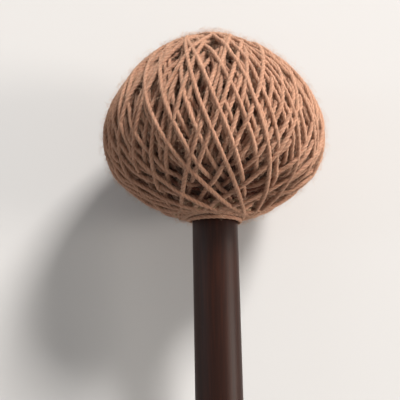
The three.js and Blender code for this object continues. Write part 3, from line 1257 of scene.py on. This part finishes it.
# %% The fibres' finish
def fibre_finish():
    material, tree = start_finish("loose_fibre")
    place = tree.node("ShaderNodeTexCoord", output=3)
    shade = tree.between(tree.noise(place, scale=500, detail=2), 0.35, 0.65)
    sockets = {
        "Base Color": tree.blended(shade, paint("b9937a"), paint("d8b497")),
        "Roughness": 0.9 - 0.1 * shade,
        "Specular IOR Level": 0.3,
        "Sheen Weight": 0.3,
    }
    end_finish(tree, sockets)
    return material


fibre = fibre_finish()
print("finish:", fibre.name)

# %% [markdown]
# The last lengths of yarn lie on top of the others and show most. So only
# those get fibres, and the very last ones get them twice, each time with
# another seed.

# %% The fibres
fibres_in_square_metre = 1.1e6
fibre_length = 1.6 * mm
fibre_radius = 0.012 * mm
deepest_fibre = 1.0 * mm
lowest_fibre = 0.02 * mm
first_with_fibres, first_with_more = 3, 5


def lift_off_floor(mesh):
    """Moves what lies under the floor to just above it."""
    flat = np.empty(3 * len(mesh.vertices), np.float32)
    mesh.vertices.foreach_get("co", flat)
    flat[2::3] = np.maximum(flat[2::3], lowest_fibre)
    mesh.vertices.foreach_set("co", flat)
    mesh.update()


fibre_sources = winding[first_with_fibres:] + winding[first_with_more:]
for number, source in enumerate(fibre_sources, 1):
    values = {
        "Fibres": fibres_in_square_metre,
        "Length": fibre_length,
        "Radius": fibre_radius,
        "Deepest": deepest_fibre,
        "Seed": number,
        "Material": fibre,
    }
    piece = run_shape(f"loose_fibres_{number}", source.data, loose, values)
    lift_off_floor(piece.data)
    dressed(piece, "yarn")

# %% [markdown]
# ## Floor and background
# The floor is plain and pale, and fades out far from the mallet, so that no
# edge shows. Behind it is the world. Where the camera sees the world, also in
# a reflection or through glass, it is white. For everything else it is a
# dim, slightly warm light from all sides.


# %% Floor
floor_half = 3.0
fade_from, fade_to = 0.27, 0.65


def floor_finish():
    material, tree = start_finish("pale_floor")
    place = tree.node("ShaderNodeTexCoord", output=3)
    soft = tree.noise(place, scale=6, detail=2)
    far = tree.node("ShaderNodeVectorMath", {"operation": "LENGTH"}, {0: place}, 1)
    sockets = {
        "Base Color": tree.blended(soft, paint("c9cacb"), paint("cfd0d1")),
        "Roughness": 0.9 - 0.05 * soft,
        "Specular IOR Level": 0.1,
        "Alpha": 1 - tree.between(far, fade_from, fade_to),
    }
    end_finish(tree, sockets)
    return material


corners = ((-1, -1), (1, -1), (1, 1), (-1, 1))
floor_mesh = bpy.data.meshes.new("floor")
floor_mesh.from_pydata(
    [(x * floor_half, y * floor_half, 0) for x, y in corners], [], [(0, 1, 2, 3)]
)
floor_mesh.materials.append(floor_finish())
floor = in_scene("floor", floor_mesh)
print("floor, m:", 2 * floor_half)

# %% World
light_from_all_sides = 0.35
white, warm = (1.0, 1.0, 1.0, 1.0), (1.0, 0.95, 0.9, 1.0)

world = bpy.data.worlds.new("pale_studio")
world.use_nodes = True
world.node_tree.nodes.clear()
air = Tree(world.node_tree.nodes, world.node_tree.links)
camera_ray, glossy_ray, clear_ray = air.node(
    "ShaderNodeLightPath",
    output=("Is Camera Ray", "Is Glossy Ray", "Is Transmission Ray"),
)
seen = air.maths("MINIMUM", camera_ray + glossy_ray + clear_ray, 1.0)
sky = air.node(
    "ShaderNodeBackground",
    sockets={
        "Color": air.blended(seen, warm, white),
        "Strength": light_from_all_sides + (1 - light_from_all_sides) * seen,
    },
)
air.node("ShaderNodeOutputWorld", sockets={"Surface": sky})
bpy.context.scene.world = world
print("world:", world.name)

# %% [markdown]
# ## Light
# One broad lamp, the key, stands up on the right, beyond the crown, so the
# shadow falls down to the left. A wide one low on the right fills that side.
# A dim, narrow one low on the left gives the shaft its second highlight.

# %% Lamps
lamp_far = 2.4


def lamp(name, azimuth, elevation, width, height, power, colour):
    """A broad lamp that faces the head. Azimuth 0 is right, 90 the crown."""
    data = bpy.data.lights.new(name, "AREA")
    data.shape = "RECTANGLE"
    data.size, data.size_y, data.energy, data.color = width, height, power, colour
    made = in_scene(name, data)
    round_head, lift = math.radians(azimuth), math.radians(elevation)
    flat = math.cos(lift)
    towards = (math.cos(round_head) * flat, math.sin(round_head) * flat, math.sin(lift))
    made.location = Vector(head_centre) + Vector(towards) * lamp_far
    made.rotation_mode = "QUATERNION"
    made.rotation_quaternion = Vector(towards).to_track_quat("Z", "Y")
    print("lamp:", name, power, "W")


for name, azimuth, elevation, width, height, power, colour in (
    ("key", 53, 36, 0.6, 0.6, 84, (1, 0.95, 0.9)),
    ("right", -5, 18, 0.67, 1.6, 46, (1, 0.91, 0.82)),
    ("left", 178, 27, 0.16, 1.9, 5, (0.8, 0.88, 1)),
):
    lamp(name, azimuth, elevation, width, height, power, colour)

# %% [markdown]
# ## Camera
# The camera looks down steeply from close by, from the shaft's side of the
# head, and is rolled a little. It is aimed so that the middle of the head
# falls on the same pixel as in the photograph.

# %% Camera
camera_elevation = math.radians(75.5)
camera_far = 110 * mm
camera_roll = math.radians(-1.07)
image_middle = 200
pixels_in_mm = 5.5
head_pixel = (213, 138)
sensor_width = 36

back = Vector((0, -math.cos(camera_elevation), math.sin(camera_elevation)))
right = Vector((1, 0, 0))
up = back.cross(right)
right_rolled = right * math.cos(camera_roll) + up * math.sin(camera_roll)
up_rolled = up * math.cos(camera_roll) - right * math.sin(camera_roll)
aim = (
    Vector(head_centre)
    - right_rolled * ((head_pixel[0] - image_middle) / pixels_in_mm * mm)
    - up_rolled * ((image_middle - head_pixel[1]) / pixels_in_mm * mm)
)
half_view = image_middle / pixels_in_mm * mm
lens = bpy.data.cameras.new("camera")
lens.sensor_width = sensor_width
lens.lens = sensor_width / 2 / (half_view / camera_far)
lens.clip_start, lens.clip_end = 5 * mm, 20
camera = in_scene("camera", lens)
camera.rotation_mode = "QUATERNION"
camera.location = aim + back * camera_far
facing = Matrix((right_rolled, up_rolled, back)).transposed()
camera.rotation_quaternion = facing.to_quaternion()
bpy.context.scene.camera = camera
bpy.context.scene.view_settings.view_transform = "Standard"
print("lens, mm:", round(lens.lens, 1))
